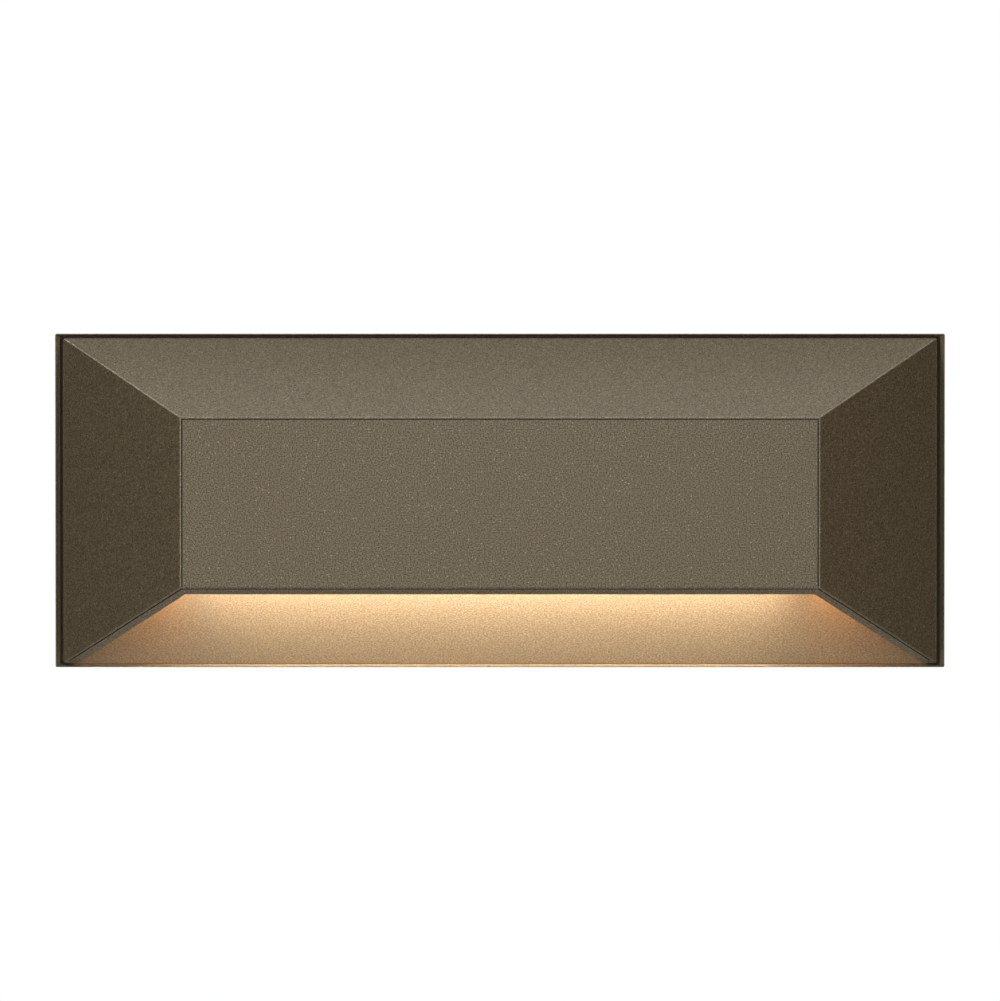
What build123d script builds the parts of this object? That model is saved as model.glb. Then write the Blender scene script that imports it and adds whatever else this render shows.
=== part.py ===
from build123d import *
import math
import os

# Deck sconce: a bevelled cast cover over a rimmed back plate, with a hidden LED strip that shines down.
# The wall plane is Y = 0, the front faces -Y, +Z is up and the origin is the centre of the back face.
# Depths are distances from the wall, so a depth d lies at Y = -d. All sizes are in millimetres.

# Back plate
plate_width = 203.2
plate_height = 76.2
plate_corner_radius = 0.4
floor_thickness = 2.5
rim_depth = 5.0
rim_side = 1.1
rim_top = 0.6
rim_crest = 0.2
rim_outer_radius = 0.12
rim_slope_depth = 0.8

# Cover
total_depth = 33.0
front_width = 143.0
front_height = 38.1
cover_wall = 2.4
cover_edge_radius = 0.5
cover_draft_side = 0.6
cover_draft_top = 0.25
cover_step = 0.05
line_width = 0.3
line_depth = 0.35
panel_line_inset = 0.42
bottom_line_inset = 0.52
bottom_line_stop = 0.9
cover_clearance = 0.25
cover_gasket_thickness = 0.8

# Set screws that lock the cover, the plate's lugs that hold them and the cover's ledges above them
set_screw_radius = 2.0
set_screw_length = 10.0
set_screw_chamfer = 0.5
set_screw_socket = 2.0
set_screw_socket_depth = 3.0
set_screw_gap = 0.1
lug_inset = 17.6
lug_width = 7.5
lug_reach = 9.5
lug_height = 6.0
lug_edge_radius = 0.8
lug_top = -1.0
lug_to_ledge = 1.3
ledge_height = 4.5
ledge_reach = 8.0

# Wall fixing slots and the wall gasket's groove
slot_inset = 29.6
slot_width = 5.0
slot_length = 10.0
wall_gasket_inset = 4.5
wall_gasket_width = 4.0
wall_gasket_depth = 1.2
wall_gasket_corner = 3.0

# Cable grommet
grommet_x = 44.0
grommet_z = 12.0
grommet_bore_radius = 3.0
grommet_neck_radius = 4.5
grommet_flange_radius = 6.5
grommet_back_flange = 1.2
grommet_front_flange = 2.0
grommet_round = 0.5

# M3 pan-head screws and the cast bosses that take them
boss_height = 3.0
boss_radius = 3.5
screw_tip_clearance = 0.8
thread_clearance = 0.05
m3_radius = 1.5
m3_hole_radius = 1.7
m3_length = 5.0
m3_head_radius = 2.75
m3_head_height = 2.0
recess_width = 0.8
recess_depth = 1.1
head_round = 0.5

# LED bracket: an extruded aluminium rail with a shelf, a screw flange at the back and a lip at the front
shelf_bottom = -12.0
shelf_thickness = 2.0
shelf_gap = 0.3
shelf_end_margin = 1.5
shelf_front_margin = 2.9
flange_end_cut = 25.0
flange_thickness = 1.5
flange_height = 8.5
lip_thickness = 1.5
lip_height = 3.0
bracket_screw_inset = 35.0

# LED board under the shelf
strip_depth = 14.0
board_end_margin = 7.0
board_width = 9.0
board_thickness = 1.2
thermal_pad_thickness = 0.4
led_count = 14
led_pitch = 9.0
led_length = 3.5
led_width = 2.8
led_height = 0.8
phosphor_radius = 1.05
phosphor_depth = 0.4

# Lens, its gasket and its screws
lens_ear = 4.9
lens_flange_thickness = 2.0
lens_wall = 1.6
lens_depth = 5.2
lens_end_clearance = 1.0
lens_side_clearance = 0.5
lens_edge_radius = 0.9
lens_corner_radius = 1.5
lens_gasket_width = 1.2
lens_gasket_thickness = 0.8
lens_gasket_edge = 0.9
lens_flange_margin = 1.0
m25_radius = 1.25
m25_hole_radius = 1.4
m25_length = 3.8
m25_head_radius = 2.2
m25_head_height = 1.5
m25_recess_depth = 0.8
lens_screw_edge = 2.9
lens_screw_spacing = 9.0

# LED driver, potted in a plastic tray
driver_length = 50.0
driver_lead_margin = 2.1
driver_depth = 13.0
driver_wall = 1.5
driver_centre_x = -31.0
driver_centre_z = 12.0
driver_corner_radius = 1.0
driver_floor_gap = 0.3
ear_length = 8.5
ear_width = 10.0
ear_thickness = 1.5
potting_below_edge = 1.0
driver_board_thickness = 1.6
driver_board_margin = 0.6
inductor_x = -8.5
inductor_radius = 5.0
inductor_height = 5.0
capacitor_x = 4.0
capacitor_radius = 3.0
capacitor_length = 9.0
rectifier_x = 4.0
rectifier_length = 8.0
rectifier_width = 5.0
rectifier_height = 2.2

# Terminal block for the supply conductors
block_end_wall = 2.0
block_side_wall = 1.4
block_depth = 10.5
block_gap = 14.0
block_edge_radius = 0.6
block_web = 0.45
pole_depth = 4.5
clamp_side = 5.2
clamp_length = 14.0
wire_bore_radius = 1.5
terminal_screw_offset = 4.0
terminal_screw_radius = 1.25
terminal_screw_head_radius = 1.9
terminal_screw_head_height = 1.6
terminal_well_radius = 2.1
terminal_slot_width = 0.6
terminal_slot_depth = 0.8
block_floor = 3.5
block_screw_counterbore = 2.95

# Leads
lead_radius = 0.9
ferrule_radius = 0.7
ferrule_length = 7.0
output_exit_inset = 4.0
output_exit_depth = 8.0
output_exit_spacing = 4.5
output_pad_inset = 3.5
output_pad_spacing = 5.0
lead_drop = 4.0
lead_crossing = 5.0
lead_bend_radius = 4.0
bushing_wall = 0.7
bushing_flange = 1.0
bushing_flange_height = 0.8
solder_radius = 1.3
solder_height = 0.7

# Worked-out places
seat_depth = floor_thickness + cover_gasket_thickness
skirt_half_width = plate_width / 2 - rim_side - cover_clearance
skirt_half_height = plate_height / 2 - rim_top - cover_clearance
base_half_width = skirt_half_width - cover_draft_side
base_half_height = skirt_half_height - cover_draft_top
boss_top = floor_thickness + boss_height
boss_hole_depth = m3_length - min(flange_thickness, ear_thickness) + screw_tip_clearance
lug_x = plate_width / 2 - lug_inset
lug_front = floor_thickness + lug_reach
lug_bottom = lug_top - lug_height
set_screw_depth = floor_thickness + lug_reach / 2
ledge_bottom = lug_top + lug_to_ledge
slot_x = plate_width / 2 - slot_inset
shelf_back = floor_thickness + shelf_gap
shelf_top = shelf_bottom + shelf_thickness
flange_middle = shelf_top + flange_height / 2
board_length = (led_count - 1) * led_pitch + 2 * board_end_margin
board_top = shelf_bottom - thermal_pad_thickness
board_bottom = board_top - board_thickness
led_bottom = board_bottom - led_height
cavity_half_length = board_length / 2 + lens_end_clearance
cavity_half_width = board_width / 2 + lens_side_clearance
gasket_inner_half_length = cavity_half_length + lens_gasket_edge
gasket_inner_half_width = cavity_half_width + lens_gasket_edge
gasket_outer_half_length = gasket_inner_half_length + lens_gasket_width
gasket_outer_half_width = gasket_inner_half_width + lens_gasket_width
lens_half_width = gasket_outer_half_width + lens_flange_margin
lens_half_length = gasket_outer_half_length + lens_ear
lens_bottom = shelf_bottom - lens_depth
lens_flange_bottom = shelf_bottom - lens_flange_thickness
shelf_half_length = lens_half_length + shelf_end_margin
shelf_front = strip_depth + lens_half_width + shelf_front_margin
flange_half_length = shelf_half_length - flange_end_cut
bracket_screw_x = shelf_half_length - bracket_screw_inset
pole_offset = block_screw_counterbore + block_web + clamp_side / 2
driver_height = 2 * (pole_offset + lead_radius + driver_lead_margin)
driver_left = driver_centre_x - driver_length / 2
driver_right = driver_centre_x + driver_length / 2
driver_bottom = driver_centre_z - driver_height / 2
driver_back = floor_thickness + driver_floor_gap
driver_front = driver_back + driver_depth
ear_hole_offset = ear_length - boss_radius
ear_hole_xs = (driver_left - ear_hole_offset, driver_right + ear_hole_offset)
tray_floor = driver_back + driver_wall
tray_half_length = driver_length / 2 - driver_wall
tray_half_height = driver_height / 2 - driver_wall
potting_front = driver_front - potting_below_edge
driver_board_front = tray_floor + driver_board_thickness
block_length = clamp_length + 2 * block_end_wall
block_height = 2 * (pole_offset + clamp_side / 2 + block_side_wall)
block_left = driver_right + block_gap
block_x = block_left + block_length / 2
block_front = boss_top + block_depth
lead_depth = boss_top + pole_depth
pole_zs = (driver_centre_z - pole_offset, driver_centre_z + pole_offset)
output_exit_x = driver_left + output_exit_inset
output_exit_depths = (output_exit_depth, output_exit_depth + output_exit_spacing)
output_pad_x = output_pad_inset - board_length / 2
output_pad_depths = (strip_depth - output_pad_spacing / 2, strip_depth + output_pad_spacing / 2)
bushing_radius = lead_radius + bushing_wall


def block(x0, x1, depth0, depth1, z0, z1):
    """A box between two X, two depths from the wall and two heights."""
    middle = Pos((x0 + x1) / 2, -(depth0 + depth1) / 2, (z0 + z1) / 2)
    return middle * Box(x1 - x0, depth1 - depth0, z1 - z0)


def facing_front(x, depth, z):
    """A frame whose own Z points out to the front, with its X along X and its Y up."""
    return Pos(x, -depth, z) * Rot(X=90)


def stub(radius, height):
    """A round bar that stands on its own Z = 0."""
    return Cylinder(radius, height, align=(Align.CENTER, Align.CENTER, Align.MIN))


def post(x, z, depth0, depth1, radius):
    """A round bar along the depth."""
    return facing_front(x, depth0, z) * stub(radius, depth1 - depth0)


def column(x, depth, z0, z1, radius):
    """An upright round bar."""
    return Pos(x, -depth, z0) * stub(radius, z1 - z0)


def front_prism(sketch, depth0, depth1, x=0, z=0):
    """A sketch, drawn as seen from the front, given a depth."""
    return facing_front(x, depth0, z) * extrude(sketch, depth1 - depth0)


def pan_head_screw(radius, length, head_radius, head_height, cross_depth):
    """A pan-head screw with a cross recess: its seat is Z = 0 and its shank points along -Z."""
    head = stub(head_radius, head_height)
    head = fillet(head.edges().group_by(Axis.Z)[-1], head_round)
    slot = Box(1.3 * head_radius, recess_width, 2 * cross_depth)
    cross = Pos(0, 0, head_height) * (slot + Rot(Z=90) * slot)
    shank = Pos(0, 0, -length) * stub(radius, length)
    return head - cross + shank


def m3_screw():
    return pan_head_screw(m3_radius, m3_length, m3_head_radius, m3_head_height, recess_depth)


def m25_screw():
    return pan_head_screw(m25_radius, m25_length, m25_head_radius, m25_head_height, m25_recess_depth)


def mirrored_pair(shape):
    """The shape and its mirror image across the middle of the sconce."""
    return [shape, mirror(shape, Plane.YZ)]


def slope_angle(base_half, front_half):
    """How far a bevel leans in from the depth direction."""
    return math.atan2(base_half - front_half, total_depth - rim_depth)


def inner_corners(base_half, front_half):
    """Where the wall's inner faces meet: at the foot of the bevel and at the front panel."""
    lean = slope_angle(base_half, front_half)
    foot = (base_half - cover_wall, rim_depth - cover_wall * math.tan(lean / 2))
    turn = math.pi / 2 - lean
    front = (front_half - cover_wall * math.tan(turn / 2), total_depth - cover_wall)
    return foot, front


def tapered_block(back, front, depth0, depth1):
    """A block between two depths whose half width and half height change evenly from back to front."""
    plan = Polygon(
        (-back[0], -depth0), (-front[0], -depth1), (front[0], -depth1), (back[0], -depth0), align=None
    )
    side = Polygon(
        (-depth0, -back[1]), (-depth1, -front[1]), (-depth1, front[1]), (-depth0, back[1]), align=None
    )
    return extrude(plan, plate_height, both=True) & extrude(Plane.YZ * side, plate_width, both=True)


def bevel_block():
    """The cover's outer form ahead of the rim: a rectangular block that narrows on all four sides."""
    base = (base_half_width, base_half_height)
    form = tapered_block(base, (front_width / 2, front_height / 2), rim_depth, total_depth)
    outer_edges = [e for e in form.edges() if e.center().Y < -rim_depth - cover_edge_radius]
    return fillet(outer_edges, cover_edge_radius)


def bottom_bevel(inset):
    """Most of the lower bevel laid flat, its front edge uppermost, drawn in from that edge and its ends."""
    slope = math.hypot(total_depth - rim_depth, base_half_height - front_height / 2)
    spread = (base_half_width - front_width / 2) / slope
    half_front = front_width / 2 - inset * math.hypot(1, spread)
    low = slope - bottom_line_stop
    top = half_front + spread * inset
    foot = half_front + spread * low
    return Polygon((-top, -inset), (-foot, -low), (foot, -low), (top, -inset), align=None)


def cover_lines():
    """Fine grooves round three sides of the front panel and beside the edges of the open bottom."""
    half_x = front_width / 2 - panel_line_inset
    half_z = front_height / 2 - panel_line_inset
    arch = Rectangle(2 * half_x + line_width, 2 * half_z + line_width)
    arch -= Pos(0, -line_width) * Rectangle(2 * half_x - line_width, 2 * half_z + line_width)
    panel_line = front_prism(arch, total_depth - line_depth, total_depth)
    lean = slope_angle(base_half_height, front_height / 2)
    on_bevel = Plane(
        (0, -total_depth, -front_height / 2), x_dir=(1, 0, 0), z_dir=(0, -math.sin(lean), -math.cos(lean))
    )
    outside = bottom_bevel(bottom_line_inset - line_width / 2)
    inside = bottom_bevel(bottom_line_inset + line_width / 2)
    bottom_line = extrude(on_bevel * (outside - inside), line_depth, both=True)
    return [panel_line, bottom_line]


def cover_hollow():
    """The space inside the cover's walls, open at the back and all along the bottom."""
    foot_x, front_x = inner_corners(base_half_width, front_width / 2)
    foot_z, front_z = inner_corners(base_half_height, front_height / 2)
    below = -plate_height
    plan = Polygon(
        (-foot_x[0], 0),
        (-foot_x[0], -foot_x[1]),
        (-front_x[0], -front_x[1]),
        (front_x[0], -front_x[1]),
        (foot_x[0], -foot_x[1]),
        (foot_x[0], 0),
        align=None,
    )
    side = Polygon(
        (0, below),
        (-front_z[1], below),
        (-front_z[1], front_z[0]),
        (-foot_z[1], foot_z[0]),
        (0, foot_z[0]),
        align=None,
    )
    return extrude(plan, plate_height, both=True) & extrude(Plane.YZ * side, plate_width, both=True)


def skirt_outline():
    return RectangleRounded(2 * skirt_half_width, 2 * skirt_half_height, cover_edge_radius)


def cover_skirt():
    """The cover's foot inside the plate's rim, which leans in steeply to the bevels above it."""
    foot = (skirt_half_width, skirt_half_height)
    top = (base_half_width + cover_step, base_half_height + cover_step)
    skirt = tapered_block(foot, top, seat_depth, rim_depth)
    corners = [e for e in skirt.edges() if -rim_depth < e.center().Y < -seat_depth]
    return fillet(corners, cover_edge_radius)


def make_cover():
    """Die-cast cover: bevelled on four sides, open along its bottom, with fine lines and two inner ledges."""
    form = bevel_block() + cover_skirt()
    ledge = block(
        lug_x - lug_width / 2,
        skirt_half_width,
        rim_depth,
        rim_depth + ledge_reach,
        ledge_bottom,
        ledge_bottom + ledge_height,
    )
    shell = form - cover_hollow()
    for side in mirrored_pair(ledge):
        shell += side & form
    for line in cover_lines():
        shell -= line
    return shell


def make_cover_gasket():
    """Rubber strip under the cover's edge, on the two sides and along the top."""
    wall_top = cover_draft_top + cover_wall
    inner = Pos(0, -wall_top) * Rectangle(2 * (base_half_width - cover_wall), 2 * skirt_half_height)
    return front_prism(skirt_outline() - inner, floor_thickness, seat_depth)


def set_screw_lug():
    """Cast lug that stands out from the plate's floor and holds one set screw."""
    body = block(
        lug_x - lug_width / 2, lug_x + lug_width / 2, floor_thickness, lug_front, lug_bottom, lug_top
    )
    body = fillet(body.edges().filter_by(Axis.Z).group_by(Axis.Y)[0], lug_edge_radius)
    return body - column(lug_x, set_screw_depth, lug_bottom, lug_top, set_screw_radius + thread_clearance)


def boss_places():
    """Middles of the cast bosses: LED bracket, driver ears and terminal block."""
    bracket = [(-bracket_screw_x, flange_middle), (bracket_screw_x, flange_middle)]
    driver = [(x, driver_centre_z) for x in ear_hole_xs]
    return bracket + driver + [(block_x, driver_centre_z)]


def wall_gasket_sketch():
    width = plate_width - 2 * wall_gasket_inset
    height = plate_height - 2 * wall_gasket_inset
    inner_corner = wall_gasket_corner - wall_gasket_width / 2
    outer = RectangleRounded(width, height, wall_gasket_corner)
    inner = RectangleRounded(width - 2 * wall_gasket_width, height - 2 * wall_gasket_width, inner_corner)
    return outer - inner


def make_back_plate():
    """Die-cast back plate: a shallow tray with a rim, screw slots, bosses and the two set-screw lugs."""
    outline = RectangleRounded(plate_width, plate_height, plate_corner_radius)
    plate = front_prism(outline, 0, rim_depth)
    plate = fillet(plate.faces().sort_by(Axis.Y)[0].edges(), min(rim_outer_radius, 0.6 * rim_crest))
    pocket = (plate_width / 2 - rim_side, plate_height / 2 - rim_top)
    mouth = (plate_width / 2 - rim_crest, plate_height / 2 - rim_crest)
    plate -= tapered_block(pocket, pocket, floor_thickness, rim_depth)
    plate -= tapered_block(pocket, mouth, rim_depth - rim_slope_depth, rim_depth)
    for lug in mirrored_pair(set_screw_lug()):
        plate += lug
    for x, z in boss_places():
        plate += post(x, z, floor_thickness, boss_top, boss_radius)
        plate -= post(x, z, boss_top - boss_hole_depth, boss_top, m3_radius + thread_clearance)
    for x in (-slot_x, slot_x):
        plate -= front_prism(SlotOverall(slot_length, slot_width), 0, floor_thickness, x=x)
    plate -= post(grommet_x, grommet_z, 0, floor_thickness, grommet_neck_radius)
    plate -= post(grommet_x, grommet_z, 0, grommet_back_flange, grommet_flange_radius)
    return plate - front_prism(wall_gasket_sketch(), 0, wall_gasket_depth)


def make_wall_gasket():
    """Foam gasket in the groove behind the plate, pressed level with the plate's back."""
    return front_prism(wall_gasket_sketch(), 0, wall_gasket_depth)


def make_cable_grommet():
    """Rubber grommet for the supply cable, level with the plate's back."""
    front = floor_thickness + grommet_front_flange
    neck = post(grommet_x, grommet_z, 0, front, grommet_neck_radius)
    back_flange = post(grommet_x, grommet_z, 0, grommet_back_flange, grommet_flange_radius)
    front_flange = post(grommet_x, grommet_z, floor_thickness, front, grommet_flange_radius)
    front_flange = fillet(front_flange.edges().group_by(Axis.Y)[0], grommet_round)
    body = neck + back_flange + front_flange
    return body - post(grommet_x, grommet_z, 0, front, grommet_bore_radius)


def make_led_bracket():
    """Extruded aluminium rail: the shelf that carries the LEDs, its screw flange and its front lip."""
    rail = block(-shelf_half_length, shelf_half_length, shelf_back, shelf_front, shelf_bottom, shelf_top)
    rail += block(
        -flange_half_length,
        flange_half_length,
        boss_top,
        boss_top + flange_thickness,
        shelf_top,
        shelf_top + flange_height,
    )
    rail += block(
        -shelf_half_length,
        shelf_half_length,
        shelf_front - lip_thickness,
        shelf_front,
        shelf_top,
        shelf_top + lip_height,
    )
    for x in (-bracket_screw_x, bracket_screw_x):
        rail -= post(x, flange_middle, boss_top, boss_top + flange_thickness, m3_hole_radius)
    for x, depth in lens_screw_places():
        rail -= column(x, depth, shelf_bottom, shelf_top, m25_radius + thread_clearance)
    for depth in output_pad_depths:
        rail -= column(output_pad_x, depth, shelf_bottom, shelf_top, bushing_radius)
    return rail


def make_bracket_screws():
    depth = boss_top + flange_thickness
    places = [facing_front(x, depth, flange_middle) for x in (-bracket_screw_x, bracket_screw_x)]
    return Compound([place * m3_screw() for place in places])


def strip_layer(length, width, z0, z1):
    """A flat layer of the LED strip, drilled for the two leads."""
    layer = block(
        -length / 2, length / 2, strip_depth - width / 2, strip_depth + width / 2, z0, z1
    )
    for depth in output_pad_depths:
        layer -= column(output_pad_x, depth, z0, z1, lead_radius)
    return layer


def make_thermal_pad():
    return strip_layer(board_length, board_width, board_top, shelf_bottom)


def make_led_board():
    return strip_layer(board_length, board_width, board_bottom, board_top)


def led_xs():
    first = -(led_count - 1) * led_pitch / 2
    return [first + number * led_pitch for number in range(led_count)]


def phosphor_disc(x):
    return column(x, strip_depth, led_bottom, led_bottom + phosphor_depth, phosphor_radius)


def make_led_packages():
    """White LED packages in a row, each with a round well for its phosphor."""
    half_length, half_width = led_length / 2, led_width / 2
    packages = []
    for x in led_xs():
        body = block(
            x - half_length,
            x + half_length,
            strip_depth - half_width,
            strip_depth + half_width,
            led_bottom,
            board_bottom,
        )
        packages.append(body - phosphor_disc(x))
    return Compound(packages)


def make_led_phosphors():
    return Compound([phosphor_disc(x) for x in led_xs()])


def lens_screw_places():
    """Middles of the four lens screws, two at each end."""
    x = lens_half_length - lens_screw_edge
    half = lens_screw_spacing / 2
    return [(side * x, strip_depth + step) for side in (-1, 1) for step in (-half, half)]


def lens_gasket_ring():
    outer = Rectangle(2 * gasket_outer_half_length, 2 * gasket_outer_half_width)
    inner = Rectangle(2 * gasket_inner_half_length, 2 * gasket_inner_half_width)
    low = shelf_bottom - lens_gasket_thickness
    return Pos(0, -strip_depth, low) * extrude(outer - inner, lens_gasket_thickness)


def make_lens():
    """Frosted lens: a moulded trough over the LEDs, with a screw flange and a gasket groove."""
    trough_length = 2 * (cavity_half_length + lens_wall)
    trough_width = 2 * (cavity_half_width + lens_wall)
    trough = Pos(0, -strip_depth, lens_bottom) * extrude(
        RectangleRounded(trough_length, trough_width, lens_corner_radius), lens_depth
    )
    trough = fillet(trough.edges().group_by(Axis.Z)[0], min(lens_edge_radius, 0.6 * lens_wall))
    flange_outline = RectangleRounded(2 * lens_half_length, 2 * lens_half_width, lens_corner_radius)
    flange = Pos(0, -strip_depth, lens_flange_bottom) * extrude(flange_outline, lens_flange_thickness)
    lens = trough + flange
    lens -= block(
        -cavity_half_length,
        cavity_half_length,
        strip_depth - cavity_half_width,
        strip_depth + cavity_half_width,
        lens_bottom + lens_wall,
        shelf_bottom,
    )
    for x, depth in lens_screw_places():
        lens -= column(x, depth, lens_flange_bottom, shelf_bottom, m25_hole_radius)
    return lens - lens_gasket_ring()


def make_lens_screws():
    turn = Rot(X=180)
    places = [Pos(x, -depth, lens_flange_bottom) * turn for x, depth in lens_screw_places()]
    return Compound([place * m25_screw() for place in places])


def tray_prism(depth0, depth1, margin=0.0):
    """A block that fills the driver tray between two depths."""
    outline = Rectangle(2 * (tray_half_length - margin), 2 * (tray_half_height - margin))
    return front_prism(outline, depth0, depth1, x=driver_centre_x, z=driver_centre_z)


def make_driver_case():
    """Plastic tray of the LED driver, with a screw ear at each end and holes for its leads."""
    outline = RectangleRounded(driver_length, driver_height, driver_corner_radius)
    case = front_prism(outline, driver_back, driver_front, x=driver_centre_x, z=driver_centre_z)
    half = ear_width / 2
    ears = block(
        driver_left - ear_length,
        driver_right + ear_length,
        boss_top,
        boss_top + ear_thickness,
        driver_centre_z - half,
        driver_centre_z + half,
    )
    case += ears
    for x in ear_hole_xs:
        case -= post(x, driver_centre_z, boss_top, boss_top + ear_thickness, m3_hole_radius)
    case -= tray_prism(tray_floor, driver_front)
    for z in pole_zs:
        hole = Pos(driver_right - driver_wall, -lead_depth, z) * Rot(Y=90) * stub(lead_radius, driver_wall)
        case -= hole
    for depth in output_exit_depths:
        case -= column(output_exit_x, depth, driver_bottom, driver_bottom + driver_wall, lead_radius)
    return case


def make_driver_screws():
    depth = boss_top + ear_thickness
    return Compound([facing_front(x, depth, driver_centre_z) * m3_screw() for x in ear_hole_xs])


def make_driver_board():
    return tray_prism(tray_floor, driver_board_front, driver_board_margin)


def make_driver_inductor():
    x = driver_centre_x + inductor_x
    front = driver_board_front + inductor_height
    return post(x, driver_centre_z, driver_board_front, front, inductor_radius)


def make_driver_capacitor():
    """Electrolytic capacitor lying on the driver board."""
    start = driver_centre_x + capacitor_x
    place = Pos(start, -(driver_board_front + capacitor_radius), driver_centre_z + capacitor_radius)
    return place * Rot(Y=90) * stub(capacitor_radius, capacitor_length)


def make_driver_rectifier():
    left = driver_centre_x + rectifier_x
    bottom = driver_centre_z - tray_half_height + 2 * driver_board_margin
    return block(
        left,
        left + rectifier_length,
        driver_board_front,
        driver_board_front + rectifier_height,
        bottom,
        bottom + rectifier_width,
    )


def make_driver_potting():
    """Resin that fills the tray around the driver's parts."""
    resin = tray_prism(tray_floor, potting_front)
    buried = (make_driver_board, make_driver_inductor, make_driver_capacitor, make_driver_rectifier)
    for piece in buried:
        resin -= piece()
    return resin


def clamp_tube(z):
    half_length, half_side = clamp_length / 2, clamp_side / 2
    return block(
        block_x - half_length,
        block_x + half_length,
        lead_depth - half_side,
        lead_depth + half_side,
        z - half_side,
        z + half_side,
    )


def wire_bore(z):
    """The way along one pole that the conductors lie in."""
    return Pos(block_left, -lead_depth, z) * Rot(Y=90) * stub(wire_bore_radius, block_length)


def terminal_screw_places():
    steps = (-terminal_screw_offset, terminal_screw_offset)
    return [(block_x + step, z) for z in pole_zs for step in steps]


def make_terminal_block():
    """Two-pole terminal block: plastic body with wire ways, screw wells and a fixing hole."""
    body = block(
        block_left,
        block_left + block_length,
        boss_top,
        block_front,
        driver_centre_z - block_height / 2,
        driver_centre_z + block_height / 2,
    )
    body = fillet(body.edges().filter_by(Axis.Y), block_edge_radius)
    for z in pole_zs:
        body -= clamp_tube(z)
        body -= wire_bore(z)
    for x, z in terminal_screw_places():
        body -= post(x, z, lead_depth + clamp_side / 2, block_front, terminal_well_radius)
    seat = boss_top + block_floor
    body -= post(block_x, driver_centre_z, boss_top, seat, m3_hole_radius)
    return body - post(block_x, driver_centre_z, seat, block_front, block_screw_counterbore)


def make_terminal_clamps():
    """Square brass tubes that hold the conductors, one for each pole."""
    clamps = []
    for z in pole_zs:
        tube = clamp_tube(z) - wire_bore(z)
        for x, pole_z in terminal_screw_places():
            if pole_z == z:
                hole_radius = terminal_screw_radius + thread_clearance
                tube -= post(x, z, lead_depth, lead_depth + clamp_side / 2, hole_radius)
        clamps.append(tube)
    return Compound(clamps)


def terminal_screw():
    """Slotted screw whose shank bites down on the conductor."""
    head = stub(terminal_screw_head_radius, terminal_screw_head_height)
    slot = Box(3 * terminal_screw_head_radius, terminal_slot_width, 2 * terminal_slot_depth)
    shank_length = clamp_side / 2 - ferrule_radius
    shank = Pos(0, 0, -shank_length) * stub(terminal_screw_radius, shank_length)
    return head - Pos(0, 0, terminal_screw_head_height) * slot + shank


def make_terminal_screws():
    depth = lead_depth + clamp_side / 2
    return Compound([facing_front(x, depth, z) * terminal_screw() for x, z in terminal_screw_places()])


def make_terminal_block_screw():
    place = facing_front(block_x, boss_top + block_floor, driver_centre_z)
    return place * pan_head_screw(
        m3_radius, m3_length + block_floor - ear_thickness, m3_head_radius, m3_head_height, recess_depth
    )


def make_input_lead(z):
    """Insulated lead from the driver to one pole of the terminal block."""
    start = driver_right - driver_wall
    return Pos(start, -lead_depth, z) * Rot(Y=90) * stub(lead_radius, block_left - start)


def make_lead_ferrules():
    """Crimped ferrules on the two leads' ends, inside the terminal block."""
    ferrule = Rot(Y=90) * stub(ferrule_radius, ferrule_length)
    return Compound([Pos(block_left, -lead_depth, z) * ferrule for z in pole_zs])


def make_output_lead(exit_depth, pad_depth):
    """Insulated lead from the driver down through the LED bracket to one pad of the LED board."""
    top = driver_bottom + driver_wall
    bend_top = driver_bottom - lead_drop
    points = [
        (output_exit_x, -exit_depth, top),
        (output_exit_x, -exit_depth, bend_top),
        (output_pad_x, -pad_depth, bend_top - lead_crossing),
        (output_pad_x, -pad_depth, board_bottom),
    ]
    path = FilletPolyline(*points, radius=lead_bend_radius)
    lead = sweep(Plane(points[0], z_dir=(0, 0, -1)) * Circle(lead_radius), path=path)
    expected = math.pi * lead_radius**2 * path.length
    print("output lead volume over section times length:", round(lead.volume / expected, 4))
    return lead


def make_lead_bushings():
    """Rubber bushings where the output leads pass the LED bracket."""
    bushings = []
    for depth in output_pad_depths:
        sleeve = column(output_pad_x, depth, shelf_bottom, shelf_top, bushing_radius)
        flange_top = shelf_top + bushing_flange_height
        sleeve += column(output_pad_x, depth, shelf_top, flange_top, bushing_radius + bushing_flange)
        bushings.append(sleeve - column(output_pad_x, depth, shelf_bottom, flange_top, lead_radius))
    return Compound(bushings)


def make_solder_joints():
    """Solder domes where the leads meet the LED board."""
    cone = Cone(solder_radius, lead_radius, solder_height, align=(Align.CENTER, Align.CENTER, Align.MIN))
    return Compound(
        [Pos(output_pad_x, -depth, board_bottom) * Rot(X=180) * cone for depth in output_pad_depths]
    )


def make_set_screw(side):
    """Socket set screw whose cup point bears up on the cover's ledge."""
    tip = ledge_bottom - set_screw_gap
    screw = stub(set_screw_radius, set_screw_length)
    screw = chamfer(screw.edges(), set_screw_chamfer)
    across_corners = set_screw_socket / math.cos(math.pi / 6)
    screw -= extrude(RegularPolygon(across_corners / 2, 6), set_screw_socket_depth)
    return Pos(side * lug_x, -set_screw_depth, tip - set_screw_length) * screw


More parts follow.
